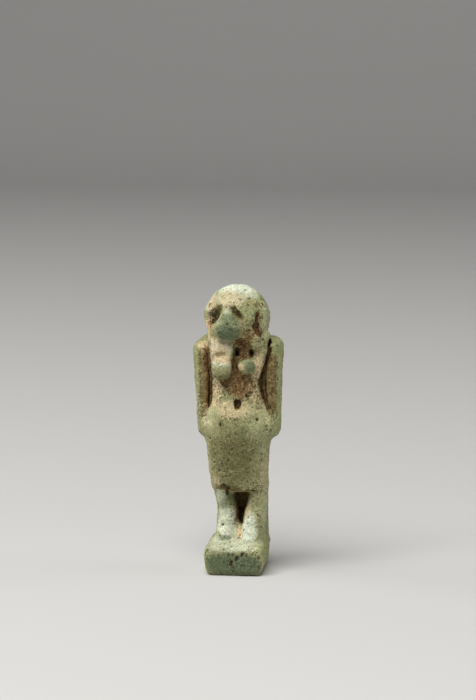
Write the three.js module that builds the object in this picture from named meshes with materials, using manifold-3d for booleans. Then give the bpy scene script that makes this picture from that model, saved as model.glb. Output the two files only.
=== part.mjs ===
// A small moulded faience amulet figurine, in millimetres with +Z up and the figure facing -Y.
// An animal-headed goddess stands on a block base against a back pillar: blunt muzzle, long wig
// whose two lappets fall on the breasts, arms flat at the sides, round belly, and short legs with
// the left one advanced. Figure, base and pillar were pressed as one piece, so they are one solid.
// The origin is the centre of the base's underside.

import * as THREE from "three";
import { RoundedBoxGeometry } from "three/addons/geometries/RoundedBoxGeometry.js";
import { triTable } from "three/addons/objects/MarchingCubes.js";
import { mergeVertices } from "three/addons/utils/BufferGeometryUtils.js";
import Module from "manifold-3d";

// Driving dimensions

const figureHeight = 28.4; // from the base's top to the crown
const baseWidth = 6.5;
const baseDepth = 8.4;
const baseHeight = 3.3;
const baseRounding = 0.7;
const pillarWidth = 3.4;
const pillarDepth = 2.6;
const pillarRounding = 0.5;
const pillarHeight = 23.6; // above the base's top
const pillarInset = 0.05; // from the base's back to the pillar's
const cordHole = 1.0; // diameter of the hole that a hanging cord ran through
const cordHoleDrop = 3.1; // from the pillar's top down to the hole's axis
const cordHoleWall = 0.4; // left standing between the hole and the pillar's back
const sink = 0.4; // how far feet and pillar run down into the base
const meshStep = 0.56; // spacing of the lattice that the body is meshed on
const headMeshStep = 0.4; // the head's carving is finer

// The figure is carved in hundredths of its own height, with zero at the base's top.
const share = figureHeight / 100;

// Forms, as signed distances from their skin, negative inside

function ellipsoid([x, y, z], [cx, cy, cz], [rx, ry, rz]) {
  const [u, v, w] = [(x - cx) / rx, (y - cy) / ry, (z - cz) / rz];
  const reach = Math.hypot(u, v, w);
  const steepness = Math.hypot(u / rx, v / ry, w / rz);
  return reach === 0 ? -Math.min(rx, ry, rz) : (reach * (reach - 1)) / steepness;
}

// A tapered limb from a to b. Its section is stretched in depth, then turned by some degrees.
function limb(p, a, b, radiusA, radiusB, depth = 1, turn = 0) {
  const [lx, ly, lz] = [b[0] - a[0], b[1] - a[1], b[2] - a[2]];
  const [ox, oy, oz] = [p[0] - a[0], p[1] - a[1], p[2] - a[2]];
  const along = (ox * lx + oy * ly + oz * lz) / (lx * lx + ly * ly + lz * lz);
  const t = THREE.MathUtils.clamp(along, 0, 1);
  const [x, y] = turned(ox - lx * t, oy - ly * t, turn);
  return Math.hypot(x, y / depth, oz - lz * t) - THREE.MathUtils.lerp(radiusA, radiusB, t);
}

function turned(x, y, degrees) {
  const angle = THREE.MathUtils.degToRad(degrees);
  const [c, s] = [Math.cos(angle), Math.sin(angle)];
  return [x * c - y * s, x * s + y * c];
}

function slab([x, y, z], low, high, rounding) {
  const a = Math.max(low[0] - x, x - high[0]) + rounding;
  const b = Math.max(low[1] - y, y - high[1]) + rounding;
  const c = Math.max(low[2] - z, z - high[2]) + rounding;
  const outside = Math.hypot(Math.max(a, 0), Math.max(b, 0), Math.max(c, 0));
  return outside + Math.min(Math.max(a, b, c), 0) - rounding;
}

// An upright trunk through stations of [height, middle, half width, front, back]. Its sections lie
// between an ellipse and a rectangle, and both its ends are rounded off.
const squareness = 2.5;
const endSoftness = 2.8;

function trunk([x, y, z], stations) {
  const last = stations.length - 1;
  let i = stations.findIndex((s) => z < s[0]);
  i = i < 0 ? last - 1 : THREE.MathUtils.clamp(i - 1, 0, last - 1);
  const t = THREE.MathUtils.clamp((z - stations[i][0]) / (stations[i + 1][0] - stations[i][0]), 0, 1);
  const around = [i - 1, i, i + 1, i + 2].map((k) => stations[THREE.MathUtils.clamp(k, 0, last)]);
  const [middle, width, front, back] = [1, 2, 3, 4].map((k) => throughPoints(around, k, t));
  const dx = x - middle;
  const depth = y < 0 ? front : back;
  const [u, v] = [Math.abs(dx / width), Math.abs(y / depth)];
  const ring = (u ** squareness + v ** squareness) ** (1 / squareness);
  const reach = Math.hypot(dx, y);
  const side = ring === 0 ? -width : reach - reach / ring;
  return carve(side, Math.min(z - stations[0][0], stations[last][0] - z), endSoftness);
}

// A Catmull-Rom curve through four neighbouring stations, read between the middle two.
function throughPoints(around, k, t) {
  const [a, b, c, d] = around.map((s) => s[k]);
  return b + 0.5 * t * (c - a + t * (2 * a - 5 * b + 4 * c - d + t * (3 * (b - c) + d - a)));
}

function join(a, b, softness) {
  const near = Math.max(softness - Math.abs(a - b), 0) / softness;
  return Math.min(a, b) - (near * near * softness) / 4;
}

function carve(a, b, softness) {
  return -join(-a, b, softness);
}

// The head looks a little to its right.
const headTurn = 12;
const neck = [-0.2, 1.4];

const wigStations = [
  [73.6, 0.4, 9.2, 2.8, 7.4],
  [79.6, 0.8, 10.5, 5.3, 9.9],
  [83.8, 0.7, 10.6, 6, 10.6],
  [89.1, 0.1, 11.9, 7.7, 10.9],
];

function head([x, y, z]) {
  const [dx, dy] = turned(x - neck[0], y - neck[1], headTurn);
  const q = [dx, dy + neck[1], z];
  let d = ellipsoid(q, [0.2, 1.1, 87.7], [12.4, 10.6, 12.3]);
  d = join(d, trunk(q, wigStations), 2.8);
  d = join(d, ellipsoid(q, [1.1, -4.6, 88.4], [8.5, 5.5, 7]), 2.1);
  d = join(d, limb(q, [9.9, -1.8, 90.1], [9.5, -4.2, 77.5], 1.9, 2.1, 1.2), 2.5);
  d = join(d, limb(q, [-9.5, -1.1, 89.4], [-8.1, -3.9, 77.5], 1.9, 1.6, 1.2), 2.1);
  d = carve(d, limb(q, [-3.5, -9, 91.4], [-7.6, -6.9, 87.1], 1.8, 2.6), 1.4);
  d = carve(d, limb(q, [1.4, -10.7, 91.5], [3.9, -10.6, 88.7], 1.8, 2.1), 1.6);
  d = carve(d, limb(q, [10.2, -5.9, 89.8], [9.8, -5.9, 81.7], 1, 1), 0.9);
  d = carve(d, limb(q, [-9.2, -6, 85.9], [-8.5, -6.7, 80.3], 0.9, 1.1), 0.9);
  d = join(d, limb(q, [-1.1, -8.8, 92.3], [0.2, -10.4, 85.6], 0.9, 4.4), 1.2);
  d = join(d, ellipsoid(q, [0.2, -7.7, 83.1], [4.8, 5.6, 3.7]), 1.4);
  return join(d, slab(q, [-5.3, -15.1, 79.8], [4.8, -5.3, 88], 4.1), 1.6);
}

const bodyStations = [
  [18, 1.2, 9.7, 3.5, 9.2],
  [20.8, 1.1, 10.6, 7.7, 9.5],
  [23.6, 0.9, 11.1, 10.2, 9.7],
  [27.8, 0.7, 11.5, 11.4, 9.9],
  [33.1, 0.5, 11.8, 12.3, 9.9],
  [39.8, 0.5, 12.1, 13, 9.5],
  [45.4, 0.4, 12.1, 12.3, 9.2],
  [50, 0.4, 11.8, 10.6, 8.8],
  [54.2, 0.6, 10.8, 8.8, 8.5],
  [58.5, 0.2, 9.9, 7.6, 8.5],
  [63.4, -0.4, 9.3, 6.3, 8.5],
  [67.6, -0.3, 9.9, 6.2, 8.5],
  [72.5, 0.2, 10.9, 5.6, 8.8],
  [77.5, 0.6, 12, 4.2, 8.8],
  [82.4, 0.4, 10.9, 3.5, 9.2],
];

// The right lappet ends in a block that leans back with its height.
const lappetLean = 0.45;
const lappetFoot = 73.9;

// The torso with its lappets, breasts and throat, and the web that joins the arms behind.
function torso(p) {
  let d = trunk(p, bodyStations);
  d = join(d, slab(p, [-14.8, 0.4, 43.7], [15.5, 8.1, 79.6], 2.5), 2.1);
  const sloped = [p[0], p[1] - lappetLean * (p[2] - lappetFoot), p[2]];
  d = join(d, slab(sloped, [-10, -10.9, 73.6], [-0.7, 1.8, 84.2], 1.6), 1.4);
  d = join(d, limb(p, [10.6, -3.2, 80.3], [7.6, -4.2, 65.5], 2.6, 1.4), 2.8);
  d = join(d, slab(p, [-9.7, -11.2, 64.6], [-0.7, -2.8, 72.9], 3), 1.2);
  d = join(d, ellipsoid(p, [4.4, -6, 69], [4.1, 4.1, 3.1]), 1.6);
  d = carve(d, limb(p, [-0.3, -10.2, 74.6], [-0.1, -9.9, 67.6], 1, 0.9), 0.5);
  return carve(d, ellipsoid(p, [3.3, -6, 75.7], [3.5, 3.2, 3.2]), 0.7);
}

function arms(p) {
  const left = limb(p, [-14, 1.8, 74.6], [-12.1, 0.7, 44], 3.3, 3.1, 1.6, -12);
  const right = limb(p, [14.2, 1.8, 76.1], [13.3, 0.7, 44], 3.5, 3.3, 1.6, 12);
  return Math.min(left, right);
}

// The fists rest on the hips, which stand a little proud of the skirt.
function hips(p) {
  const left = ellipsoid(p, [-8.8, -1.8, 46.5], [5.3, 6, 7.4]);
  const right = ellipsoid(p, [10.2, -1.8, 46.8], [5.3, 6, 7.4]);
  return Math.min(left, right);
}

// The hollow slope inside each arm
function grooves(p) {
  const left = limb(p, [-11.6, -7.7, 75.7], [-11.3, -9.2, 51.4], 3.2, 2.6);
  const right = join(
    limb(p, [13.7, -5.6, 75.4], [11.4, -7, 64.8], 1.8, 2.6),
    limb(p, [11.4, -7, 64.8], [13.2, -9.2, 52.1], 2.6, 2.6),
    1.1,
  );
  return Math.min(left, right);
}

// The right leg hangs back and the left one steps forward. Walls run back from both to the pillar,
// a web fills the space behind them, and a tapering gap parts them in front.
function legs(p) {
  const back = join(
    limb(p, [-5.5, 2.1, 21.1], [-3.7, 1.4, 9.9], 4.2, 3.5, 1.7),
    limb(p, [-3.7, 0.7, 9.9], [-4, -0.4, 1.1], 3.5, 4.8, 1.2),
    2.1,
  );
  const front = join(
    limb(p, [8.3, 1.1, 21.8], [7.2, 0.4, 9.9], 3.5, 3.9, 2),
    limb(p, [7, -3.2, 9.9], [5.8, -4.6, 1.1], 3.9, 4.8),
    2.5,
  );
  const backWall = slab(p, [-6.7, 0.7, -4.9], [-1.8, 11.3, 21.1], 2.1);
  const frontWall = slab(p, [4.2, -2.1, -4.9], [10.9, 11.3, 21.1], 2.1);
  const web = slab(p, [-6.7, 6, -4.9], [10.9, 11.3, 21.1], 2.1);
  const filled = join(Math.min(backWall, frontWall), web, 2.1);
  const gap = limb(p, [2.2, -2.1, 19.4], [1, -2.1, 6.7], 2.6, 0.4, 3);
  return carve(join(join(back, front, 0.9), filled, 1.4), gap, 0.9);
}

function body(p) {
  let d = join(join(torso(p), hips(p), 2.8), arms(p), 1.4);
  d = join(carve(d, grooves(p), 1.2), legs(p), 1.4);
  return Math.max(d, -sink / share - p[2]);
}

// Meshing by marching cubes, each vertex then settled on the skin

const corners = [[0, 0, 0], [1, 0, 0], [1, 1, 0], [0, 1, 0], [0, 0, 1], [1, 0, 1], [1, 1, 1], [0, 1, 1]];
const lowerEdges = [[0, 1], [1, 2], [3, 2], [0, 3]];
const upperEdges = [[4, 5], [5, 6], [7, 6], [4, 7]];
const uprightEdges = [[0, 4], [1, 5], [2, 6], [3, 7]];
const edges = [...lowerEdges, ...upperEdges, ...uprightEdges];

function meshed(skin, low, high, step) {
  const count = low.map((v, i) => Math.ceil((high[i] - v) / step) + 1);
  const index = ([i, j, k]) => i + count[0] * (j + count[1] * k);
  const place = (spot) => spot.map((n, i) => low[i] + n * step);
  const values = new Float64Array(count[0] * count[1] * count[2]);
  for (const spot of lattice(count)) values[index(spot)] = skin(place(spot));

  const positions = [];
  const triangles = [];
  const made = new Map();
  const vertexOn = (a, b) => {
    const [ia, ib] = [index(a), index(b)];
    const key = ia * values.length + ib;
    if (!made.has(key)) {
      const t = THREE.MathUtils.clamp(values[ia] / (values[ia] - values[ib]), 0.12, 0.88);
      const [from, to] = [place(a), place(b)];
      made.set(key, positions.length / 3);
      positions.push(...settled(skin, from.map((v, n) => v + (to[n] - v) * t), step));
    }
    return made.get(key);
  };
  for (const spot of lattice(count.map((n) => n - 1))) {
    const cell = corners.map((corner) => corner.map((n, i) => spot[i] + n));
    const outside = cell.reduce((bits, c, n) => bits | (values[index(c)] < 0 ? 0 : 1 << n), 0);
    for (let n = outside * 16; triTable[n] >= 0; n++) {
      const [a, b] = edges[triTable[n]];
      triangles.push(vertexOn(cell[a], cell[b]));
    }
  }
  return { positions, triangles };
}

function* lattice([wide, deep, high]) {
  for (let k = 0; k < high; k++)
    for (let j = 0; j < deep; j++)
      for (let i = 0; i < wide; i++) yield [i, j, k];
}

function settled(skin, start, step) {
  const point = [...start];
  const tiny = step / 50;
  for (let round = 0; round < 2; round++) {
    const slope = point.map((v, i) => {
      const rise = skin(point.with(i, v + tiny)) - skin(point.with(i, v - tiny));
      return rise / (2 * tiny);
    });
    const steepness = slope.reduce((sum, v) => sum + v * v, 0);
    const move = skin(point) / Math.max(steepness, 0.25);
    slope.forEach((v, i) => {
      point[i] -= THREE.MathUtils.clamp(move * v, -step / 4, step / 4);
    });
  }
  return point;
}

// Solids

const wasm = await Module();
wasm.setup();

function solid(positions, triangles) {
  const vertProperties = new Float32Array(positions);
  const triVerts = new Uint32Array(triangles);
  return new wasm.Manifold(new wasm.Mesh({ numProp: 3, vertProperties, triVerts }));
}

function placed(geometry, x, y, z) {
  const bare = geometry.translate(x, y, z).deleteAttribute("normal").deleteAttribute("uv");
  const merged = mergeVertices(bare, 1e-4);
  return solid(merged.attributes.position.array, merged.index.array);
}

// Lattices in shares that hold the body, and the head down to the end of its wig inside the body.
const bodyRoom = [[-20, -19, -5], [20, 15, 86]];
const headRoom = [[-17, -19, 71], [17, 15, 103]];

function carved(skin, [low, high], step) {
  const { positions, triangles } = meshed(skin, low, high, step / share);
  const rise = [0, 0, baseHeight];
  return solid(positions.map((v, i) => v * share + rise[i % 3]), triangles);
}

const roundingSteps = 3;

function base() {
  const block = new RoundedBoxGeometry(baseWidth, baseDepth, baseHeight, roundingSteps, baseRounding);
  return placed(block, 0, 0, baseHeight / 2);
}

const pillarBack = baseDepth / 2 - pillarInset;

function pillar() {
  const length = pillarHeight + sink;
  const post = new RoundedBoxGeometry(pillarWidth, pillarDepth, length, roundingSteps, pillarRounding);
  return placed(post, 0, pillarBack - pillarDepth / 2, baseHeight - sink + length / 2);
}

function hole() {
  const bore = new THREE.CylinderGeometry(cordHole / 2, cordHole / 2, 2 * pillarWidth, 16);
  const depth = pillarBack - cordHoleWall - cordHole / 2;
  return placed(bore.rotateZ(Math.PI / 2), 0, depth, baseHeight + pillarHeight - cordHoleDrop);
}

// The navel is a pit too small for the lattice, so it is cut as a solid of its own.
function navel() {
  const [x, y, z] = [0.9, -10.2, 55].map((v) => v * share);
  const pit = new THREE.SphereGeometry(share, 12, 8).scale(1.5, 3.3, 2.3);
  return placed(pit, x, y, baseHeight + z);
}

function geometryOf(manifold) {
  const mesh = manifold.getMesh();
  const geometry = new THREE.BufferGeometry();
  geometry.setAttribute("position", new THREE.BufferAttribute(mesh.vertProperties, 3));
  geometry.setIndex(new THREE.BufferAttribute(mesh.triVerts, 1));
  geometry.computeVertexNormals();
  return geometry;
}

const faience = new THREE.MeshStandardMaterial({ color: 0xaeb394, roughness: 0.6, metalness: 0 });

const figure = carved(body, bodyRoom, meshStep).add(carved(head, headRoom, headMeshStep));
const amulet = figure.add(base()).add(pillar()).subtract(hole()).subtract(navel());
const figurine = new THREE.Mesh(geometryOf(amulet), faience);
figurine.name = "figurine";

const group = new THREE.Group();
group.add(figurine);
export default group;
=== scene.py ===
import itertools
import math

import bpy
import numpy as np
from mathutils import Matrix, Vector
from mathutils.kdtree import KDTree


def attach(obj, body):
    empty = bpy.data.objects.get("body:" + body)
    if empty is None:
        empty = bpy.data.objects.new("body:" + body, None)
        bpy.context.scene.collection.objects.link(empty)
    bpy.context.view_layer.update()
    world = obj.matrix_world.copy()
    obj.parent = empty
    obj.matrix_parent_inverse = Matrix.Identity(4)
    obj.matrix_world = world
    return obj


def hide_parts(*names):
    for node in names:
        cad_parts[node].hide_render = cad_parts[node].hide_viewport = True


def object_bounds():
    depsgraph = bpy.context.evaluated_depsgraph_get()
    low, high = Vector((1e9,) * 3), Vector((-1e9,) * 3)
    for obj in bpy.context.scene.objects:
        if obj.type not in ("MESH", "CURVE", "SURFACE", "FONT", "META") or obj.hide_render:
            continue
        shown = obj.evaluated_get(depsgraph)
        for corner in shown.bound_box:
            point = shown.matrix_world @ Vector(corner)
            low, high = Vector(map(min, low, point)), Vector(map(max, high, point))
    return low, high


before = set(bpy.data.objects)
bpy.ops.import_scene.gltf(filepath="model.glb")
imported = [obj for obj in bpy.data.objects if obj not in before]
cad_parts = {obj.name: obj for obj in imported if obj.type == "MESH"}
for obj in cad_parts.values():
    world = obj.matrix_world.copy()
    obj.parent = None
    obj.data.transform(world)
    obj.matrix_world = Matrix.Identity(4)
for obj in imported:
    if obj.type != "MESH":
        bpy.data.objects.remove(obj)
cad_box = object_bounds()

# A small faience amulet: an animal-headed goddess on a block base, against a pierced back pillar.
# It is shaped in millimetres, facing -Y, with z up from the base's top. Left and right are the
# figure's own, so its left side has positive x. Its mesh is turned to metres last.

BASE_WIDTH = 6.5
BASE_DEPTH = 8.4
BASE_HEIGHT = 3.3
BASE_ROUNDING = 0.7
BASE_NARROWING = 0.07  # share of the width lost at the foot
NARROWING_DROP = 0.9  # from the base's top to where it starts to narrow
PILLAR_WIDTH = 3.4
PILLAR_DEPTH = 2.6
PILLAR_ROUNDING = 0.5
PILLAR_BACK = 4.15
PILLAR_TOP = 23.6
PILLAR_SINK = 1.0  # how far the pillar runs down into the base
CORD_HOLE = 1.0  # diameter
CORD_HOLE_DROP = 3.1  # from the pillar's top down to the hole's axis
CORD_HOLE_INSET = 0.9  # from the pillar's back to the hole's axis
FIGURE_TOP = 28.4
FIGURE_SINK = 0.4  # how far the feet run down into the base

MM = (cad_box[1][2] - cad_box[0][2]) / (BASE_HEIGHT + FIGURE_TOP)  # in metres, by the CAD model's height
LATTICE = 0.12  # spacing of the lattice that the skin is meshed on


# Forms, as distances from their skin, negative inside

SQUARENESS = 2.5  # of a trunk's sections, where 2 is an ellipse
TRUNK_END = 0.8  # softness of a trunk's two ends
NEARLY_ZERO = 1e-9  # keeps a form's own middle from a division by zero


def ellipsoid(p, centre, radii):
    q = [(v - c) / r for v, c, r in zip(p, centre, radii)]
    reach = np.sqrt(q[0] ** 2 + q[1] ** 2 + q[2] ** 2) + NEARLY_ZERO
    steepness = np.sqrt(sum((v / r) ** 2 for v, r in zip(q, radii))) + NEARLY_ZERO
    return reach * (reach - 1) / steepness


def limb(p, a, b, radius_a, radius_b, depth=1.0, turn=0.0):
    """A tapered limb from a to b. Its section is stretched in depth, then turned by some degrees."""
    along = [e - s for s, e in zip(a, b)]
    length = sum(v * v for v in along)
    offset = [v - s for v, s in zip(p, a)]
    t = np.clip(sum(o * v for o, v in zip(offset, along)) / length, 0, 1)
    x, y, z = [o - v * t for o, v in zip(offset, along)]
    c, s = math.cos(math.radians(turn)), math.sin(math.radians(turn))
    x, y = x * c - y * s, x * s + y * c
    return np.sqrt(x * x + (y / depth) ** 2 + z * z) - (radius_a + (radius_b - radius_a) * t)


def slab(p, low, high, rounding):
    """A block with rounded edges."""
    out = [np.maximum(a - v, v - b) + rounding for v, a, b in zip(p, low, high)]
    outside = np.sqrt(sum(np.maximum(v, 0) ** 2 for v in out))
    return outside + np.minimum(np.maximum(np.maximum(*out[:2]), out[2]), 0) - rounding


def trunk(p, stations):
    """An upright body through stations of [height, middle, half width, front, back].

    A Catmull-Rom curve runs through each four neighbouring stations.
    """
    x, y, z = p
    table = np.array(stations)
    heights = table[:, 0]
    last = len(heights) - 1
    i = np.clip(np.searchsorted(heights, z, side="right") - 1, 0, last - 1)
    t = np.clip((z - heights[i]) / (heights[i + 1] - heights[i]), 0, 1)
    a, b, c, d = [table[np.clip(i + k, 0, last)] for k in (-1, 0, 1, 2)]
    t = t[..., None]
    row = b + 0.5 * t * (c - a + t * (2 * a - 5 * b + 4 * c - d + t * (3 * (b - c) + d - a)))
    middle, width, front, back = [row[..., k] for k in (1, 2, 3, 4)]
    dx = x - middle
    depth = np.where(y < 0, front, back)
    ring = np.abs(dx / width) ** SQUARENESS + np.abs(y / depth) ** SQUARENESS
    ring = ring ** (1 / SQUARENESS) + NEARLY_ZERO
    reach = np.sqrt(dx * dx + y * y)
    return carve(reach - reach / ring, np.minimum(z - heights[0], heights[-1] - z), TRUNK_END)


def join(a, b, softness):
    """Both forms, with the corner between them filled."""
    near = np.maximum(softness - np.abs(a - b), 0) / softness
    return np.minimum(a, b) - near * near * softness / 4


def carve(a, b, softness):
    """The first form without the second, with the rim rounded off."""
    return -join(-a, b, softness)


# The figure

HEAD_TURN = math.radians(12)  # to its right
NECK = (-0.05, 0.4)  # the upright axis that the head turns on
LAPPET_LEAN = 0.25  # how far the right lappet leans back with each millimetre of height
LAPPET_FOOT = 21.0  # the height that the lean is counted from

WIG = [
    [20.9, 0.1, 2.6, 0.8, 2.1],
    [22.6, 0.22, 2.98, 1.5, 2.8],
    [23.8, 0.2, 3.0, 1.7, 3.0],
    [25.3, 0.03, 3.38, 2.2, 3.1],
]

BODY = [
    [5.4, 0.35, 2.75, 1.0, 2.6],
    [5.9, 0.3, 3.0, 2.2, 2.7],
    [6.7, 0.25, 3.14, 2.9, 2.75],
    [7.9, 0.2, 3.27, 3.25, 2.8],
    [9.4, 0.15, 3.36, 3.5, 2.8],
    [11.3, 0.15, 3.45, 3.7, 2.7],
    [12.9, 0.12, 3.43, 3.5, 2.6],
    [14.2, 0.1, 3.35, 3.0, 2.5],
    [15.4, 0.17, 3.08, 2.5, 2.4],
    [16.6, 0.05, 2.8, 2.15, 2.4],
    [18.0, -0.12, 2.63, 1.8, 2.4],
    [19.2, -0.08, 2.8, 1.75, 2.4],
    [20.6, 0.05, 3.1, 1.6, 2.5],
    [22.0, 0.17, 3.4, 1.2, 2.5],
    [23.4, 0.1, 3.1, 1.0, 2.6],
]


def head(p):
    dx, dy = p[0] - NECK[0], p[1] - NECK[1]
    c, s = math.cos(HEAD_TURN), math.sin(HEAD_TURN)
    q = (dx * c - dy * s, dx * s + dy * c + NECK[1], p[2])

    # Skull, wig and face, then the wig's edge on each side of the face
    d = ellipsoid(q, [0.05, 0.3, 24.9], [3.52, 3.0, 3.5])
    d = join(d, trunk(q, WIG), 0.8)
    d = join(d, ellipsoid(q, [0.3, -1.3, 25.1], [2.4, 1.55, 2.0]), 0.6)
    d = join(d, limb(q, [2.8, -0.5, 25.6], [2.7, -1.2, 22.0], 0.55, 0.6, 1.2), 0.7)
    d = join(d, limb(q, [-2.7, -0.3, 25.4], [-2.3, -1.1, 22.0], 0.55, 0.45, 1.2), 0.6)

    # Two eye hollows, then the groove between wig and face, in two lengths on the left
    d = carve(d, limb(q, [-1.0, -2.55, 25.95], [-2.15, -1.95, 24.75], 0.5, 0.75), 0.4)
    d = carve(d, limb(q, [0.4, -3.05, 26.0], [1.1, -3.0, 25.2], 0.5, 0.6), 0.5)
    d = carve(d, limb(q, [2.95, -1.5, 25.5], [2.72, -1.6, 24.1], 0.15, 0.26, 1.8), 0.2)
    d = carve(d, limb(q, [2.72, -1.6, 24.1], [2.95, -1.4, 23.3], 0.26, 0.18, 1.8), 0.2)
    d = carve(d, limb(q, [-2.6, -1.7, 24.4], [-2.4, -1.9, 22.8], 0.2, 0.3), 0.25)

    # Brow, jaw and muzzle
    d = join(d, limb(q, [-0.3, -2.5, 26.2], [0.05, -2.95, 24.3], 0.25, 1.25), 0.35)
    d = join(d, ellipsoid(q, [0.05, -2.2, 23.6], [1.35, 1.6, 1.05]), 0.4)
    return join(d, slab(q, [-1.4, -4.3, 22.65], [1.47, -1.5, 25.0], 1.2), 0.45)


def torso(p):
    # The body, and the web that joins the arms behind
    d = trunk(p, BODY)
    d = join(d, slab(p, [-4.2, 0.1, 12.4], [4.4, 2.3, 22.6], 0.7), 0.6)

    # The wig's lappets: a leaning block on the right, a fold on the left
    sloped = (p[0], p[1] - LAPPET_LEAN * (p[2] - LAPPET_FOOT), p[2])
    d = join(d, slab(sloped, [-2.85, -2.95, 20.4], [-0.2, 0.5, 23.9], 0.45), 0.4)
    d = join(d, limb(p, [3.0, -0.9, 22.8], [2.15, -1.2, 18.6], 0.75, 0.4), 0.8)

    # The breasts, with a small knob on the left one
    d = join(d, slab(p, [-2.7, -3.45, 18.25], [-0.2, -0.8, 20.75], 1.1), 0.4)
    d = join(d, ellipsoid(p, [1.26, -1.7, 19.6], [1.15, 1.15, 0.88]), 0.4)
    d = join(d, ellipsoid(p, [0.7, -2.35, 19.75], [0.38, 0.5, 0.42]), 0.3)

    # The cleft between the breasts, a dent at the right lappet's foot, two throat pits and the navel
    d = carve(d, limb(p, [-0.08, -2.9, 21.2], [-0.02, -2.8, 19.2], 0.22, 0.18), 0.15)
    d = carve(d, ellipsoid(p, [-1.45, -3.1, 21.0], [0.75, 0.6, 0.33]), 0.3)
    for x, width in ((0.15, 0.26), (1.75, 0.28)):
        d = carve(d, ellipsoid(p, [x, -1.6, 21.5], [width, 1.3, 0.95]), 0.12)
    return carve(d, ellipsoid(p, [0.27, -2.9, 15.5], [0.42, 1.0, 0.72]), 0.15)


def arms(p):
    right = limb(p, [-3.99, 0.5, 21.2], [-3.45, 0.2, 12.5], 0.95, 0.88, 1.6, -12)
    left = limb(p, [4.02, 0.5, 21.6], [3.77, 0.2, 12.5], 1.0, 0.95, 1.6, 12)
    return np.minimum(right, left)


def hips(p):
    """The hips stand a little proud of the skirt, where the hands rest."""
    right = ellipsoid(p, [-2.5, -0.5, 13.2], [1.5, 1.7, 2.1])
    left = ellipsoid(p, [2.9, -0.5, 13.3], [1.5, 1.7, 2.1])
    return np.minimum(right, left)


def grooves(p):
    """The hollow slope inside each arm."""
    right = limb(p, [-3.3, -2.2, 21.5], [-3.25, -2.6, 14.0], 0.9, 0.75)
    left = join(
        limb(p, [3.9, -1.6, 21.4], [3.25, -2.0, 18.4], 0.5, 0.75),
        limb(p, [3.25, -2.0, 18.4], [3.75, -2.6, 14.1], 0.75, 0.75),
        0.3,
    )
    return np.minimum(right, left)


def chain(p, places, widths, depth):
    """Limbs from each place to the next."""
    pairs = zip(places, places[1:], widths, widths[1:])
    return [limb(p, a, b, radius_a, radius_b, depth) for a, b, radius_a, radius_b in pairs]


def seams(p):
    """The narrow cleft between each arm and the body, and the recess by the left shoulder."""
    right = [[-3.15, -0.9, 20.8], [-2.97, -0.8, 18.6], [-2.9, -0.8, 16.2], [-2.97, -1.1, 14.7]]
    left = [[3.7, -0.9, 21.5], [3.3, -0.8, 19.75], [2.95, -0.6, 18.2], [2.92, -0.7, 17.2]]
    left += [[3.2, -0.9, 16.0], [3.5, -1.2, 14.8]]
    clefts = chain(p, right, [0.05, 0.14, 0.2, 0.1], 3)
    clefts += chain(p, left, [0.08, 0.16, 0.3, 0.32, 0.2, 0.06], 3.5)
    shoulder = ellipsoid(p, [3.5, -0.6, 22.1], [0.22, 0.5, 0.6])
    return np.minimum.reduce(clefts + [shoulder])


def legs(p):
    """The right leg hangs back and the left one steps forward.

    Walls run back from both to the pillar, a web fills the space behind them, and a gap that
    narrows downwards parts them in front.
    """
    back = join(
        limb(p, [-1.55, 0.6, 6.0], [-1.0, 0.4, 2.8], 1.2, 1.02, 1.7),
        limb(p, [-0.95, 0.2, 2.8], [-1.1, -0.1, 0.3], 1.05, 1.35, 1.2),
        0.6,
    )
    front = join(
        limb(p, [2.35, 0.3, 6.2], [2.05, 0.1, 2.8], 1.0, 1.1, 2.0),
        limb(p, [2.0, -0.9, 2.8], [1.65, -1.3, 0.3], 1.1, 1.35),
        0.7,
    )
    back_wall = slab(p, [-1.9, 0.2, -1.4], [-0.5, 3.2, 6.0], 0.6)
    front_wall = slab(p, [1.2, -0.6, -1.4], [3.1, 3.2, 6.0], 0.6)
    web = slab(p, [-1.9, 1.7, -1.4], [3.1, 3.0, 6.2], 0.8)
    filled = join(np.minimum(back_wall, front_wall), web, 0.6)
    d = join(join(back, front, 0.25), filled, 0.4)
    d = join(d, limb(p, [0.3, -1.7, 0.0], [0.34, -0.3, 2.0], 0.6, 0.2), 0.5)
    return carve(d, limb(p, [0.72, -0.6, 5.6], [0.45, -0.6, 2.1], 0.74, 0.12, 3), 0.25)


def stand(p):
    """The base, a little narrower at its foot, and the back pillar."""
    half = BASE_WIDTH / 2
    lower = np.clip((-NARROWING_DROP - p[2]) / (BASE_HEIGHT - NARROWING_DROP), 0, 1)
    q = (p[0] / (1 - BASE_NARROWING * lower ** 2), p[1], p[2])
    base = slab(q, [-half, -BASE_DEPTH / 2, -BASE_HEIGHT], [half, BASE_DEPTH / 2, 0], BASE_ROUNDING)
    low = [-PILLAR_WIDTH / 2, PILLAR_BACK - PILLAR_DEPTH, -PILLAR_SINK]
    high = [PILLAR_WIDTH / 2, PILLAR_BACK, PILLAR_TOP]
    return base, slab(p, low, high, PILLAR_ROUNDING)


def cord_hole(p):
    y = p[1] - PILLAR_BACK + CORD_HOLE_INSET
    z = p[2] - PILLAR_TOP + CORD_HOLE_DROP
    return np.sqrt(y ** 2 + z ** 2) - CORD_HOLE / 2


def skin(p):
    """The whole figurine as one form."""
    d = join(join(torso(p), hips(p), 0.8), arms(p), 0.4)
    d = carve(carve(d, grooves(p), 0.35), seams(p), 0.25)
    d = join(d, head(p), 0.25)
    d = join(d, legs(p), 0.4)
    d = np.maximum(d, -FIGURE_SINK - p[2])
    base, pillar = stand(p)
    d = join(join(d, base, 0.8), pillar, 0.2)
    return carve(d, cord_hole(p), 0.1)


# Meshing

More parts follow.
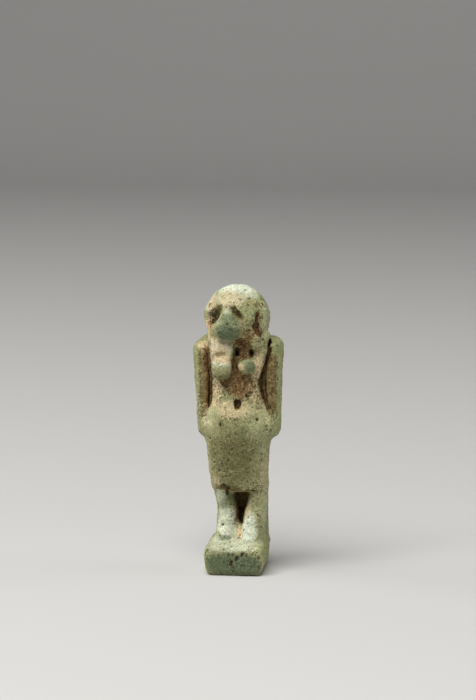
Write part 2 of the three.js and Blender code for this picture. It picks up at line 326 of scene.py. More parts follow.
def surface_net(values, low, step):
    """One point in each lattice cell that the skin crosses, and a quad round each crossed edge."""
    cells = tuple(n - 1 for n in values.shape)
    total = np.zeros((*cells, 3))
    count = np.zeros(cells)
    crossings = []
    for axis in range(3):
        near = np.take(values, range(cells[axis]), axis)
        far = np.take(values, range(1, cells[axis] + 1), axis)
        crossed = (near < 0) != (far < 0)
        spots = np.argwhere(crossed)
        t = near[crossed] / (near[crossed] - far[crossed])
        crossings.append((spots, near[crossed] < 0))
        sides = [k for k in range(3) if k != axis]
        for shift in itertools.product((0, 1), repeat=2):
            cell = spots.copy()
            cell[:, sides] -= shift
            ok = np.all((cell >= 0) & (cell < cells), axis=1)
            place = spots[ok].astype(float)
            place[:, axis] += t[ok]
            index = tuple(cell[ok].T)
            np.add.at(total, index, place)
            np.add.at(count, index, 1)
    used = count > 0
    number = np.full(cells, -1)
    number[used] = np.arange(used.sum())
    points = np.array(low) + step * total[used] / count[used][:, None]
    quads = []
    for axis, (spots, out_ahead) in enumerate(crossings):
        u, v = (axis + 1) % 3, (axis + 2) % 3
        ring = []
        for du, dv in ((0, 0), (1, 0), (1, 1), (0, 1)):
            cell = spots.copy()
            cell[:, u] -= du
            cell[:, v] -= dv
            ring.append(number[tuple(cell.T)])
        ring = np.array(ring).T
        ring[~out_ahead] = ring[~out_ahead][:, ::-1]
        quads.append(ring)
    return points, np.concatenate(quads)


def slopes(points):
    """The field's slope at each point, from four places close around it."""
    tiny = 0.01
    ways = np.array([[1, -1, -1], [-1, -1, 1], [-1, 1, -1], [1, 1, 1]])
    return sum(w * skin((points + tiny * w).T)[:, None] for w in ways) / (4 * tiny)


def settled(points, step):
    """The points moved onto the skin, with the direction that faces out of it at each."""
    for _ in range(2):
        slope = slopes(points)
        move = skin(points.T)[:, None] * slope / np.maximum((slope ** 2).sum(1), 0.25)[:, None]
        points = points - np.clip(move, -step / 3, step / 3)
    slope = slopes(points)
    return points, slope / np.linalg.norm(slope, axis=1)[:, None]


def figurine_mesh():
    """The skin's points, directions and quads, on a lattice with a little room round the figurine."""
    low = np.array([-5.6, -5.4, -BASE_HEIGHT - 0.3])
    high = np.array([5.8, 4.8, FIGURE_TOP + 0.4])
    ticks = [np.arange(a, b, LATTICE) for a, b in zip(low, high)]
    values = np.empty([len(t) for t in ticks])
    x, y = np.meshgrid(ticks[0], ticks[1], indexing="ij")
    for k, z in enumerate(ticks[2]):
        values[:, :, k] = skin((x, y, np.full_like(x, z)))
    points, quads = surface_net(values, low, LATTICE)
    points, normals = settled(points, LATTICE)
    return points, normals, quads


# Weathering, with painted light and shade

RECESS_REACH = 0.7  # how far out the form is read again, to tell a hollow from open skin
BROAD_WEAR = (0.06, 1.3, 1)  # height, size and seed of its swells
FINE_WEAR = [(0.038, 0.6, 2), (0.034, 0.28, 3)]
PORES = 500
PORE_SEED = 4
PORE_RADIUS = 0.12  # of the smallest, where the largest has twice that
PORE_DEPTH = 0.6  # as a share of the radius


def cloud(points, cell, seed):
    """Smooth noise between -1 and 1, on a lattice that repeats after 48 cells."""
    repeat = 48
    table = np.random.default_rng(seed).uniform(-1, 1, (repeat, repeat, repeat))
    place = points / cell
    low = np.floor(place).astype(int)
    t = place - low
    t = t * t * (3 - 2 * t)
    total = np.zeros(len(points))
    for corner in itertools.product((0, 1), repeat=3):
        weight = np.prod(np.where(corner, t, 1 - t), axis=1)
        total += weight * table[tuple(((low + corner) % repeat).T)]
    return total


def wear_at(points, roughness):
    """How far wear moves each point outwards: broad swells, and fine ones that roughness raises."""
    fine = sum(height * cloud(points, size, seed) for height, size, seed in FINE_WEAR)
    height, size, seed = BROAD_WEAR
    return height * cloud(points, size, seed) + roughness * fine


# Pits that show one by one, as (place, radius, depth, height against width)
PITS = [
    # Muzzle: nostril and mouth
    ([-0.6, -4.2, 24.6], 0.26, 0.25, 1.1),
    ([-0.4, -4.3, 23.9], 0.13, 0.1, 3.0),
    # Brow and wig
    ([-0.8, -2.7, 26.2], 0.17, 0.15, 1.0),
    ([0.6, -2.2, 27.0], 0.2, 0.15, 0.8),
    ([-3.0, -0.6, 26.2], 0.3, 0.2, 1.0),
    ([2.9, -1.0, 26.4], 0.35, 0.15, 0.8),
    # Right cheek
    ([-2.6, -1.1, 24.5], 0.3, 0.25, 1.5),
    ([-2.4, -1.6, 23.9], 0.25, 0.25, 1.3),
    # Waist, belly and hips
    ([1.4, -2.1, 16.4], 0.26, 0.3, 1.0),
    ([-1.6, -3.1, 13.4], 0.26, 0.3, 2.2),
    ([2.5, -2.6, 13.9], 0.28, 0.25, 1.1),
    ([3.3, -1.9, 10.8], 0.2, 0.2, 1.0),
    # Slope inside the left arm
    ([3.9, -1.2, 16.4], 0.2, 0.2, 1.0),
    ([3.8, -1.2, 15.1], 0.2, 0.2, 1.0),
    # Hem and the leg under it
    ([-1.2, -2.6, 6.5], 0.3, 0.3, 1.0),
    ([-0.8, -1.6, 5.8], 0.34, 0.35, 1.6),
    ([2.0, -1.8, 5.7], 0.25, 0.25, 0.8),
    # Front of the base
    ([-0.2, -4.2, -1.7], 0.28, 0.2, 1.0),
    ([0.4, -4.2, -1.3], 0.22, 0.2, 1.3),
    ([1.0, -4.2, -0.8], 0.28, 0.2, 1.0),
]


def scattered(points, dirt_and_shade):
    """Small pores at random places, more of them where the dirt and shade mark is strong, in the same
    form as the pits.
    """
    random = np.random.default_rng(PORE_SEED)
    tries = 4 * PORES
    chosen = random.integers(0, len(points), tries)
    chosen = chosen[random.random(tries) < 0.2 + 0.8 * dirt_and_shade[chosen]][:PORES]
    radii = PORE_RADIUS + PORE_RADIUS * random.random(len(chosen)) ** 3
    return [(points[n], r, r * PORE_DEPTH, 1.0) for n, r in zip(chosen, radii)]


def pitted(points, pits):
    """How deep each point lies in a pit, and how near it is to one's middle."""
    tree = KDTree(len(points))
    for n, point in enumerate(points):
        tree.insert(point, n)
    tree.balance()
    depth = np.zeros(len(points))
    weight = np.zeros(len(points))
    for place, radius, deep, tall in pits:
        centre = tree.find(place)[0]
        near = np.array([n for _, n, _ in tree.find_range(centre, radius * max(tall, 1))])
        offset = (points[near] - centre) / (1, 1, tall)
        fade = np.maximum(1 - (offset ** 2).sum(1) / radius ** 2, 0) ** 1.5
        depth[near] = np.maximum(depth[near], deep * fade)
        weight[near] = np.maximum(weight[near], fade)
    return depth, weight


# Stains, painted shade and painted light, as (centre, radii, strength), or (from, to, radius, strength)
# along a line
CREAM = [
    # Head and wig
    ([-0.7, -1.9, 27.0], [2.0, 1.6, 1.4], 0.6),
    ([-2.6, -0.8, 26.4], [0.9, 1.2, 1.2], 0.75),
    ([-3.0, -0.9, 23.6], [0.8, 1.2, 1.5], 0.9),
    ([1.6, -2.0, 23.2], [1.0, 1.0, 1.2], 0.4),
    # Chest and upper arms
    ([-1.4, -2.8, 21.9], [1.7, 1.5, 1.3], 0.75),
    ([-1.4, -2.9, 20.5], [1.6, 0.9, 0.55], 0.9),
    ([-2.75, -1.6, 20.4], [0.5, 1.3, 2.5], 0.95),
    ([-3.7, -0.7, 21.9], [0.7, 0.9, 1.1], 0.75),
    ([2.5, -1.4, 19.8], [0.7, 1.3, 2.0], 0.9),
    ([0.7, -2.8, 19.7], [0.45, 0.5, 0.5], 0.85),
    # Waist and lower arms
    ([-2.2, -1.6, 16.9], [0.9, 1.1, 2.4], 0.75),
    ([2.05, -1.5, 17.2], [0.9, 1.0, 2.8], 0.6),
    ([0.0, -2.6, 15.0], [2.7, 1.2, 1.2], 0.65),
    # Belly, hips and skirt
    ([-3.0, -1.8, 13.5], [1.2, 1.3, 1.9], 0.35),
    ([3.2, -1.7, 13.6], [1.1, 1.3, 1.9], 0.3),
    ([-3.0, -1.5, 9.5], [0.7, 1.3, 3.2], 0.35),
    ([3.1, -1.2, 8.0], [0.8, 1.5, 5.5], 0.35),
    # Hem, legs and feet
    ([-2.0, -2.3, 6.9], [0.8, 1.0, 0.9], 0.6),
    ([0.5, -1.8, 1.1], [0.5, 1.3, 1.1], 0.8),
    ([1.3, -1.8, 4.0], [0.5, 0.9, 1.7], 0.6),
    ([3.2, -0.6, 3.0], [0.7, 1.6, 3.5], 0.3),
]
# Brown dirt, with painted shadow and shade in the rows marked so
DIRT_AND_SHADE = [
    # Head and wig
    ([2.45, -2.1, 25.4], [2.2, -2.0, 24.2], 0.4, 1.0),
    ([2.2, -2.0, 24.2], [2.6, -1.9, 23.2], 0.5, 1.0),
    ([1.4, -2.0, 23.6], [1.9, -1.8, 22.5], 0.9, 0.7),
    ([-2.85, -0.9, 24.3], [-2.7, -1.3, 23.6], 0.35, 0.9),
    ([-2.6, -0.9, 26.3], [-2.95, -0.7, 26.1], 0.35, 0.6),
    ([2.3, -1.6, 26.5], [3.0, -0.9, 26.2], 0.5, 0.5),
    # Chest and upper arms
    ([-3.3, -0.8, 21.3], [-3.05, -0.8, 19.0], 0.45, 0.75),
    ([3.6, -0.8, 21.2], [3.1, -0.5, 18.6], 0.4, 1.0),
    ([3.45, -0.5, 22.3], [3.4, -0.6, 21.8], 0.45, 1.0),
    # Painted shadow under the muzzle
    ([0.3, -1.8, 22.5], [1.5, -1.8, 22.3], 0.5, 1.0),
    ([0.8, -1.3, 21.9], [1.0, -1.4, 20.7], 0.85, 0.9),
    ([-0.05, -1.9, 20.8], [0.0, -1.8, 18.6], 0.38, 1.0),
    # Waist and lower arms
    ([-3.05, -0.7, 19.0], [-3.1, -0.9, 14.0], 0.5, 1.0),
    ([-3.6, -1.0, 20.8], [-3.4, -1.1, 14.4], 0.75, 0.6),
    ([3.1, -0.5, 18.6], [3.05, -0.4, 16.5], 0.55, 1.0),
    ([3.05, -0.4, 16.5], [3.7, -1.0, 14.0], 0.5, 0.95),
    ([3.9, -1.0, 20.4], [3.9, -1.1, 14.8], 0.75, 0.65),
    # Painted shade, with some dirt, under the right breast
    ([-1.9, -1.8, 18.3], [-0.5, -1.9, 18.0], 0.55, 0.9),
    ([-1.2, -1.7, 17.9], [-0.3, -1.9, 17.1], 0.8, 0.85),
    ([0.2, -1.9, 18.4], [0.5, -1.9, 16.8], 1.0, 1.0),
    ([1.2, -1.8, 18.4], [1.6, -1.8, 17.2], 0.85, 0.8),
    ([-2.2, -1.7, 17.5], [-1.6, -1.9, 16.6], 0.7, 0.4),
    ([-1.4, -1.9, 17.0], [1.9, -1.9, 16.4], 0.9, 0.45),
    ([0.3, -2.0, 17.0], [0.4, -2.1, 16.2], 0.85, 0.65),
    ([2.5, -1.6, 16.2], [2.7, -1.9, 15.2], 0.5, 0.5),
    ([0.27, -2.2, 15.6], [0.27, -2.3, 15.2], 0.5, 0.9),
    # Hem, legs and feet
    # Painted shade and dirt along the hem's underside
    ([-2.0, -2.3, 6.2], [-0.7, -2.3, 6.1], 0.4, 0.7),
    ([-1.6, -2.1, 6.0], [1.9, -2.1, 5.9], 0.4, 0.7),
    # Painted shade down the gap between the legs
    ([0.7, 0.9, 5.4], [0.3, 0.8, 1.8], 1.2, 1.0),
    ([0.9, -1.0, 5.7], [0.7, -0.6, 4.8], 0.7, 0.9),
    ([0.3, -1.6, 2.4], [0.35, -1.8, 1.4], 0.25, 0.8),
]
TEAL = [
    # Head and wig
    # The muzzle's front: green glaze, darkened further as painted shade
    ([-0.8, -4.1, 23.6], [1.4, 1.0, 1.3], 1.0),
    ([-0.4, -4.0, 23.3], [1.9, 1.6, 1.45], 0.75),
    ([-0.4, -3.4, 22.6], [1.7, 1.6, 0.8], 0.7),
    ([-0.5, -3.6, 24.9], [1.2, 1.0, 0.9], 0.8),
    # Chest and upper arms
    ([-1.4, -3.3, 19.3], [1.1, 0.6, 0.85], 0.3),
    ([1.75, -2.6, 19.7], [0.7, 0.7, 0.7], 0.8),
    # Belly, hips and skirt
    ([1.2, -3.4, 12.4], [1.0, 0.9, 1.1], 0.45),
    ([-0.9, -3.3, 12.9], [0.9, 0.8, 0.8], 0.3),
    # Hem, legs and feet
    ([-1.1, -1.3, 4.4], [0.9, 0.8, 1.0], 0.6),
    ([1.9, -1.9, 4.5], [0.8, 0.8, 1.0], 0.4),
    ([-1.2, -1.8, 0.5], [1.0, 0.7, 0.36], 0.7),
    ([1.4, -2.7, 0.25], [0.8, 0.6, 0.3], 0.4),
    # Base
    # The base's front: green glaze, darkened as painted shade
    ([0.0, -4.7, -2.1], [5.4, 1.2, 1.9], 1.0),
]
BLACK = [
    # Head and wig
    # Painted shade in the right eye hollow
    ([-2.5, -0.8, 25.1], [-2.4, -0.8, 24.5], 0.35, 0.75),
    ([2.4, -2.0, 25.1], [2.2, -1.9, 24.0], 0.25, 0.9),
    ([2.2, -1.9, 24.0], [2.45, -1.9, 23.5], 0.2, 0.7),
    # Painted shade in the eye hollows
    ([0.2, -2.5, 25.8], [0.6, -2.5, 25.3], 0.25, 0.45),
    ([-2.1, -1.0, 25.2], [0.95, 0.8, 0.85], 0.65),
    ([0.0, -2.5, 26.0], [0.7, -2.5, 25.2], 0.4, 0.7),
    # Chest and upper arms
    ([0.12, -0.8, 21.5], [0.1, -0.8, 20.6], 0.3, 1.0),
    ([0.07, -1.2, 22.1], [0.07, -1.2, 20.3], 0.22, 1.0),
    ([1.72, -0.95, 21.4], [1.64, -1.0, 20.9], 0.3, 1.0),
    ([3.5, -0.8, 20.8], [3.05, -0.4, 18.9], 0.25, 0.7),
    # Waist and lower arms
    ([0.1, -2.1, 15.8], [0.3, -2.1, 15.2], 0.3, 1.0),
    ([0.5, -2.1, 15.8], [0.3, -2.1, 15.2], 0.3, 1.0),
    ([1.3, -2.1, 16.4], [0.2, 0.5, 0.2], 1.0),
    ([3.9, -1.2, 16.4], [0.16, 0.5, 0.16], 0.9),
    ([3.8, -1.2, 15.1], [0.16, 0.5, 0.16], 0.9),
    ([2.95, -0.1, 18.5], [2.9, -0.2, 16.8], 0.36, 0.9),
    ([2.9, -0.2, 16.8], [3.4, -0.7, 15.3], 0.25, 0.6),
    ([0.2, -1.9, 18.2], [0.7, -1.9, 17.2], 0.7, 0.35),
    # Hem, legs and feet
    # Painted shade deep in the gap between the legs
    ([0.6, 0.8, 4.6], [0.35, 0.8, 2.6], 0.7, 0.4),
    ([-0.85, -1.8, 5.8], [0.25, 0.8, 0.5], 1.0),
    ([-0.95, -1.5, 5.5], [0.22, 0.6, 0.5], 1.0),
    # Painted shade along the hem's underside
    ([-1.6, -2.6, 6.35], [-0.6, -2.6, 6.25], 0.35, 0.55),
    ([2.0, -1.9, 5.8], [0.3, 0.8, 0.25], 0.8),
    # Base
    ([-0.25, -4.2, -1.95], [-0.15, -4.2, -1.7], 0.22, 1.0),
    ([0.3, -4.2, -1.45], [0.45, -4.2, -1.2], 0.2, 1.0),
    ([0.9, -4.2, -0.95], [1.05, -4.2, -0.8], 0.16, 0.9),
]
# Painted shade in dark olive: in the eye hollows and the dent, under the breast and the hem, along the
# arms and over the belly
SHADE = [
    # Head and wig
    ([-2.05, -1.1, 25.3], [1.15, 0.9, 0.95], 1.0),
    ([-0.15, -2.5, 26.0], [0.75, -2.5, 25.1], 0.5, 1.0),
    ([2.0, -1.8, 25.2], [1.4, 1.1, 1.6], 0.3),
    # Chest and upper arms
    ([-1.45, -2.75, 21.1], [0.8, 0.6, 0.36], 1.0),
    ([-1.3, -2.7, 18.6], [1.2, 0.8, 0.6], 0.7),
    # Waist and lower arms
    ([-3.9, -1.2, 15.0], [0.7, 1.1, 2.2], 0.4),
    ([-3.7, -1.1, 20.8], [-3.5, -1.2, 14.2], 0.8, 0.8),
    ([4.0, -1.1, 20.4], [4.0, -1.2, 14.6], 0.8, 0.8),
    ([0.2, -2.4, 16.4], [2.6, 0.9, 1.4], 0.5),
    # Belly, hips and skirt
    ([0.1, -3.7, 10.4], [2.4, 1.8, 2.9], 1.0),
    ([-0.3, -3.6, 10.3], [3.7, 2.6, 5.2], 0.75),
    # Hem, legs and feet
    ([-1.0, -2.4, 6.3], [1.9, 0.9, 0.75], 1.0),
    ([-1.3, -1.6, 5.2], [1.0, 0.7, 0.7], 0.4),
]
# Pale rubbed glaze; on the right lappet under the muzzle, the left leg's outer side and the base's top
# and left side it is partly painted light
WORN_AND_LIT = [
    # Head and wig
    ([0.4, 0.0, 28.5], [3.7, 3.2, 1.4], 0.9),
    ([1.6, -0.9, 27.7], [1.7, 1.4, 1.1], 0.5),
    ([-2.9, 0.2, 26.6], [0.9, 1.8, 2.2], 0.6),
    ([-0.7, -1.9, 27.2], [2.2, 1.6, 1.4], 0.5),
    ([-0.65, -2.9, 25.6], [0.5, 0.9, 0.9], 0.5),
    ([3.3, -0.9, 24.6], [0.9, 1.6, 2.8], 0.35),
    # Chest and upper arms
    # Painted light on the right lappet, where the muzzle's shadow falls
    ([-1.4, -2.9, 21.9], [1.6, 1.3, 1.1], 1.0),
    ([-1.5, -3.0, 20.2], [1.3, 0.8, 0.7], 0.6),
    # Waist and lower arms
    ([4.6, -0.8, 17.5], [0.9, 1.6, 5.5], 0.2),
    # Belly, hips and skirt
    ([-2.9, -2.0, 13.4], [1.0, 1.1, 1.5], 0.3),
    ([3.0, -1.5, 9.6], [0.9, 1.5, 4.2], 0.25),
    # Hem, legs and feet
    ([-1.1, -1.5, 2.2], [1.6, 1.5, 2.3], 0.8),
    ([-1.7, -1.4, 5.1], [1.0, 1.0, 1.2], 0.6),
    ([1.5, -2.2, 1.6], [1.1, 1.4, 2.1], 1.0),
    # Painted light on the left leg's outer side
    ([3.2, -0.6, 3.6], [0.8, 1.6, 4.0], 0.4),
    # Base
    # Painted light on the base's top, which is rubbed pale too
    ([-0.3, -2.0, 0.1], [4.0, 3.4, 0.75], 0.55),
    ([-0.3, -3.8, -0.2], [3.3, 1.1, 0.6], 0.6),
    # Painted light on the base's left side
    ([3.4, -1.0, -1.7], [0.7, 3.6, 1.8], 0.3),
]
OLIVE = [
    # Head and wig
    ([3.4, -0.6, 24.6], [0.9, 2.2, 3.0], 0.7),
    ([2.4, -1.6, 26.0], [1.4, 1.5, 1.6], 0.6),
    # Chest and upper arms
    ([-4.6, -0.9, 19.5], [0.9, 2.0, 3.0], 0.7),
    # Waist and lower arms
    ([4.6, -0.8, 17.5], [1.2, 2.2, 6.5], 0.85),
    # Belly, hips and skirt
    ([3.2, -1.0, 9.0], [0.7, 1.8, 4.0], 0.5),
    # Hem, legs and feet
    ([3.2, -0.3, 4.5], [0.8, 2.0, 5.5], 0.6),
    # Base
    ([3.4, 0.0, -1.7], [0.7, 5.0, 2.2], 0.9),
    ([3.0, -2.8, 0.1], [0.9, 1.6, 0.6], 0.8),
]


def strongest_mark(points, stains):
    """The strongest listed mark at each point, a stain, painted shade or painted light, full to half its
    radius and gone at 1.3 of it.
    """
    total = np.zeros(len(points))
    p = points.T
    for a, b, *rest in stains:
        if len(rest) == 1:
            q = [(v - c) / r for v, c, r in zip(p, a, b)]
            away = np.sqrt(q[0] ** 2 + q[1] ** 2 + q[2] ** 2)
        else:
            away = 1 + limb(p, a, b, rest[0], rest[0]) / rest[0]
        t = np.clip((1.3 - away) / 0.8, 0, 1)
        total = np.maximum(total, rest[-1] * t * t * (3 - 2 * t))
    return total


points, normals, quads = figurine_mesh()
dirt_and_shade = strongest_mark(points, DIRT_AND_SHADE)
marks = {
    # How hollow the skin is; the material darkens hollows by it as painted shade and dirt
    "recess": 1 - skin((points + normals * RECESS_REACH).T) / RECESS_REACH,
    "dirt_and_shade": dirt_and_shade,
    "black": strongest_mark(points, BLACK),
    "cream": strongest_mark(points, CREAM),
    "teal": strongest_mark(points, TEAL),
    "shade": strongest_mark(points, SHADE),
    "worn_and_lit": strongest_mark(points, WORN_AND_LIT),
    "olive": strongest_mark(points, OLIVE),
}
wear = wear_at(points, 1 + dirt_and_shade - 0.4 * marks["teal"])
depth, marks["pit"] = pitted(points, PITS + scattered(points, dirt_and_shade))
points = points + normals * (wear - depth)[:, None]

# The underside stays flat, so nothing goes below it
points[:, 2] = np.maximum(points[:, 2], -BASE_HEIGHT)

mesh = bpy.data.meshes.new("faience_figurine")
mesh.from_pydata(((points + [0, 0, BASE_HEIGHT]) * MM).tolist(), [], quads.tolist())
mesh.polygons.foreach_set("use_smooth", [True] * len(mesh.polygons))
for name, values in marks.items():
    attribute = mesh.attributes.new(name, "FLOAT", "POINT")
    attribute.data.foreach_set("value", values.astype(np.float32))
piece = bpy.data.objects.new("faience_figurine", mesh)
bpy.context.scene.collection.objects.link(piece)


# Material

BUMP_DISTANCE = 0.0002  # metres
PORE_CELL = 0.5  # millimetres, of the cells that hold one small pore each at most

SAGE = (0.28, 0.278, 0.128)
SAGE_PALE = (0.385, 0.383, 0.2)
CREAM_COLOUR = (0.59, 0.464, 0.27)
# Dark green glaze, also painted shade on the fronts of the muzzle and the base
TEAL_COLOUR = (0.12, 0.15, 0.08)
# Dark olive, for painted shade
SHADE_COLOUR = (0.16, 0.15, 0.062)
# Pale mint, for rubbed glaze and for painted light
WORN_AND_LIT_COLOUR = (0.66, 0.70, 0.53)
OLIVE_COLOUR = (0.30, 0.31, 0.125)
GREEN_COLOUR = (0.20, 0.245, 0.115)
TAN_COLOUR = (0.42, 0.31, 0.155)
# Brown, for dirt and for painted shade
DIRT_AND_SHADE_COLOUR = (0.175, 0.093, 0.035)
PORE_COLOUR = (0.07, 0.055, 0.025)
# Near black, for pits, black marks and the painted shade of the deepest hollows
DEEP_COLOUR = (0.03, 0.017, 0.006)


def faience():
    material = bpy.data.materials.new("faience")
    material.use_nodes = True
    nodes, links = material.node_tree.nodes, material.node_tree.links
    shader = nodes["Principled BSDF"]
    shader.inputs["Specular IOR Level"].default_value = 0.12

    def node(kind, inputs=(), **settings):
        made = nodes.new("ShaderNode" + kind)
        for key, value in settings.items():
            setattr(made, key, value)
        for key, value in dict(inputs).items():
            if isinstance(value, bpy.types.NodeSocket):
                links.new(value, made.inputs[key])
            else:
                made.inputs[key].default_value = value
        return made

    def math_of(operation, a, b, c=0.0):
        return node("Math", {0: a, 1: b, 2: c}, operation=operation).outputs[0]

    def ramped(value, low, high):
        inputs = {"Value": value, "From Min": low, "From Max": high}
        return node("MapRange", inputs, interpolation_type="SMOOTHSTEP").outputs["Result"]

    def mixed(amount, under, over):
        under = (*under, 1) if isinstance(under, tuple) else under
        inputs = {0: amount, 6: under, 7: (*over, 1)}
        return node("Mix", inputs, data_type="RGBA").outputs[2]

    def noise(size, detail, shift=0.0):
        """Noise of a size in millimetres, shifted so that no two kinds of it line up."""
        place = node("VectorMath", {0: millimetres, 1: (shift, shift, shift)}, operation="ADD").outputs[0]
        inputs = {"Vector": place, "Scale": 1 / size, "Detail": detail, "Roughness": 0.6}
        return node("TexNoise", inputs).outputs["Fac"]

    def mark(name):
        return node("Attribute", attribute_name=name).outputs["Fac"]

    def patchy(name, grain, spread, low, high):
        """A mark whose rim is broken up by the grain."""
        loose = math_of("MULTIPLY_ADD", math_of("SUBTRACT", grain, 0.5), spread, mark(name))
        return ramped(loose, low, high)

    # Noise, from broad clouds to single grains
    coordinates = node("TexCoord").outputs["Object"]
    millimetres = node("VectorMath", {0: coordinates, "Scale": 1000.0}, operation="SCALE").outputs[0]
    broad = noise(3.0, 3.0)
    middle = noise(0.9, 4.0, 11.0)
    fine = noise(0.28, 4.0, 23.0)
    grit = noise(0.16, 3.0, 37.0)

    # Mottled glaze, then the stains over it; the shade mark is painted shade, and the worn, teal and dirt
    # marks are partly painted light and shade
    colour = mixed(ramped(broad, 0.35, 0.7), SAGE, SAGE_PALE)
    green = math_of("MULTIPLY", ramped(noise(1.3, 3.0, 51.0), 0.48, 0.68), 0.45)
    colour = mixed(green, colour, GREEN_COLOUR)
    tan = math_of("MULTIPLY", ramped(noise(1.1, 3.0, 67.0), 0.5, 0.7), 0.4)
    colour = mixed(tan, colour, TAN_COLOUR)
    colour = mixed(patchy("olive", middle, 0.9, 0.1, 1.1), colour, OLIVE_COLOUR)
    colour = mixed(patchy("shade", middle, 0.7, 0.05, 1.05), colour, SHADE_COLOUR)
    colour = mixed(patchy("worn_and_lit", middle, 0.7, 0.1, 1.0), colour, WORN_AND_LIT_COLOUR)
    colour = mixed(patchy("cream", middle, 0.9, 0.1, 1.0), colour, CREAM_COLOUR)
    colour = mixed(patchy("teal", middle, 0.7, 0.1, 1.05), colour, TEAL_COLOUR)
    colour = mixed(math_of("MULTIPLY", patchy("dirt_and_shade", fine, 1.2, 0.2, 1.0), 0.9), colour, DIRT_AND_SHADE_COLOUR)

    # Grain, small pores and specks, stronger in the dirt and shade mark and weaker in the worn and lit
    # mark
    coarse = math_of("MULTIPLY_ADD", mark("dirt_and_shade"), 0.35, noise(1.6, 2.0, 83.0))
    coarse = ramped(math_of("MULTIPLY_ADD", mark("worn_and_lit"), -0.12, coarse), 0.38, 0.72)
    cells = node("TexVoronoi", {"Vector": millimetres, "Scale": 1 / PORE_CELL, "Randomness": 1.0})
    chance = node("SeparateColor", {"Color": cells.outputs["Color"]}).outputs[0]
    size = math_of("MULTIPLY", ramped(chance, 0.6, 1.0), 0.3)
    pore = ramped(math_of("SUBTRACT", size, cells.outputs["Distance"]), 0.0, 0.12)
    colour = mixed(math_of("MULTIPLY", pore, 0.75), colour, PORE_COLOUR)
    swing = math_of("MULTIPLY_ADD", coarse, -2.6, -1.5)
    uneven = math_of("MULTIPLY_ADD", fine, 0.6, math_of("SUBTRACT", grit, 0.8))
    grain = math_of("MULTIPLY_ADD", uneven, swing, 0.91)
    grained = node("VectorMath", {0: colour, "Scale": grain}, operation="SCALE").outputs[0]
    specks = math_of("MULTIPLY", ramped(grit, 0.56, 0.7), math_of("MULTIPLY", coarse, 0.5))
    colour = mixed(specks, grained, DIRT_AND_SHADE_COLOUR)

    # Painted shade and dirt in the hollows, and near black painted shade in the deepest ones; near black
    # too in the pits and where marked black
    loose = math_of("MULTIPLY_ADD", math_of("SUBTRACT", fine, 0.5), 1.5, mark("recess"))
    hollow = ramped(loose, 0.35, 1.05)
    shade_and_dirt_strength = math_of("MULTIPLY_ADD", mark("cream"), -0.65, 0.8)
    colour = mixed(math_of("MULTIPLY", hollow, shade_and_dirt_strength), colour, DIRT_AND_SHADE_COLOUR)
    deep = math_of("MAXIMUM", ramped(loose, 1.0, 1.45), ramped(mark("pit"), 0.3, 0.9))
    deep = math_of("MAXIMUM", deep, patchy("black", fine, 1.2, 0.3, 0.8))
    colour = mixed(math_of("MULTIPLY", deep, 0.9), colour, DEEP_COLOUR)
    links.new(colour, shader.inputs["Base Color"])

    # Gloss and the relief of the grain
    dull = math_of("MULTIPLY_ADD", mark("dirt_and_shade"), 0.2, 0.55)
    links.new(math_of("MULTIPLY_ADD", fine, 0.2, dull), shader.inputs["Roughness"])

    height = math_of("MULTIPLY_ADD", grit, 0.35, math_of("MULTIPLY", fine, 0.6))
    height = math_of("SUBTRACT", height, math_of("MULTIPLY", pore, 0.8))
    bump = node("Bump", {"Strength": 0.9, "Distance": BUMP_DISTANCE, "Height": height})
    links.new(bump.outputs["Normal"], shader.inputs["Normal"])
    return material


mesh.materials.append(faience())
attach(piece, "root")
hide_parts("figurine")


# Studio

FRAME_WIDE, FRAME_HIGH = 476, 700  # pixels
PIXELS_PER_MM = 9.08
AZIMUTH = math.radians(6.3)
ELEVATION = math.radians(9.5)
DISTANCE = 320  # millimetres from the aim
AIM = (0, 0, 16)  # millimetres, with z up from the underside
AIM_PIXEL = (237.2, 426.0)  # where the aim lies in the frame
MIDDLE = (0, 0, 0.016)  # what the lamps point at, in metres


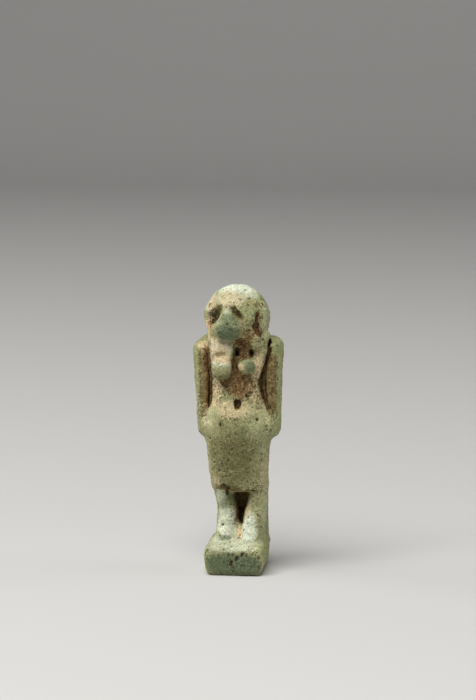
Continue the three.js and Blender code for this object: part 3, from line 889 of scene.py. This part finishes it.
def camera():
    data = bpy.data.cameras.new("camera")
    data.sensor_fit = "VERTICAL"
    data.sensor_height = 36
    focal_pixels = PIXELS_PER_MM * DISTANCE
    data.lens = focal_pixels / FRAME_HIGH * data.sensor_height
    data.clip_start = 0.01
    data.clip_end = 10
    rig = bpy.data.objects.new("camera", data)
    bpy.context.scene.collection.objects.link(rig)
    away = Vector((math.sin(AZIMUTH), -math.cos(AZIMUTH), 0))
    back = away * math.cos(ELEVATION) + Vector((0, 0, math.sin(ELEVATION)))
    rig.location = (Vector(AIM) + back * DISTANCE) * MM
    lower = math.atan((AIM_PIXEL[1] - FRAME_HIGH / 2) / focal_pixels)
    beside = math.atan((AIM_PIXEL[0] - FRAME_WIDE / 2) / focal_pixels)
    pitch = ELEVATION - lower
    rig.rotation_euler = (math.pi / 2 - pitch, 0, AZIMUTH + beside)
    bpy.context.scene.camera = rig


def plain(name, colour, roughness):
    material = bpy.data.materials.new(name)
    material.use_nodes = True
    shader = material.node_tree.nodes["Principled BSDF"]
    shader.inputs["Base Color"].default_value = (*colour, 1)
    shader.inputs["Roughness"].default_value = roughness
    return material


def floor():
    """A wide sheet that bends up behind the figurine."""
    data = bpy.data.meshes.new("floor")
    wide, near, far, high, bend, steps = 1.5, -0.8, 0.5, 1.2, 0.25, 12
    profile = [(near, 0)]
    for step in range(steps + 1):
        angle = math.pi / 2 * step / steps
        profile.append((far + bend * math.sin(angle), bend * (1 - math.cos(angle))))
    profile.append((far + bend, high))
    rows = [[(x, y, z) for y, z in profile] for x in (-wide, wide)]
    count = len(profile)
    faces = [(i + 1, i, i + count, i + count + 1) for i in range(count - 1)]
    data.from_pydata(rows[0] + rows[1], [], faces)
    data.polygons.foreach_set("use_smooth", [True] * len(data.polygons))
    data.materials.append(plain("floor", (0.56, 0.55, 0.53), 0.8))
    sheet = bpy.data.objects.new("floor", data)
    bpy.context.scene.collection.objects.link(sheet)


def softbox(name, place, size, power):
    data = bpy.data.lights.new(name, "AREA")
    data.shape = "RECTANGLE"
    data.size, data.size_y = size
    data.energy = power
    lamp = bpy.data.objects.new(name, data)
    lamp.location = place
    lamp.rotation_euler = (Vector(MIDDLE) - Vector(place)).to_track_quat("-Z", "Y").to_euler()
    bpy.context.scene.collection.objects.link(lamp)


def light():
    """Three lamps, named by the camera's sides, and a dim sky."""
    softbox("key", (-0.11, -0.23, 0.42), (0.45, 0.33), 3.5)
    softbox("left", (-0.5, 0.08, 0.15), (0.3, 0.3), 0.8)
    softbox("right", (0.5, 0.08, 0.15), (0.3, 0.3), 0.8)
    world = bpy.data.worlds.new("studio")
    world.use_nodes = True
    background = world.node_tree.nodes["Background"]
    background.inputs["Color"].default_value = (0.8, 0.83, 0.85, 1)
    background.inputs["Strength"].default_value = 0.05
    bpy.context.scene.world = world


camera()
floor()
light()
bpy.context.scene.view_settings.view_transform = "Standard"
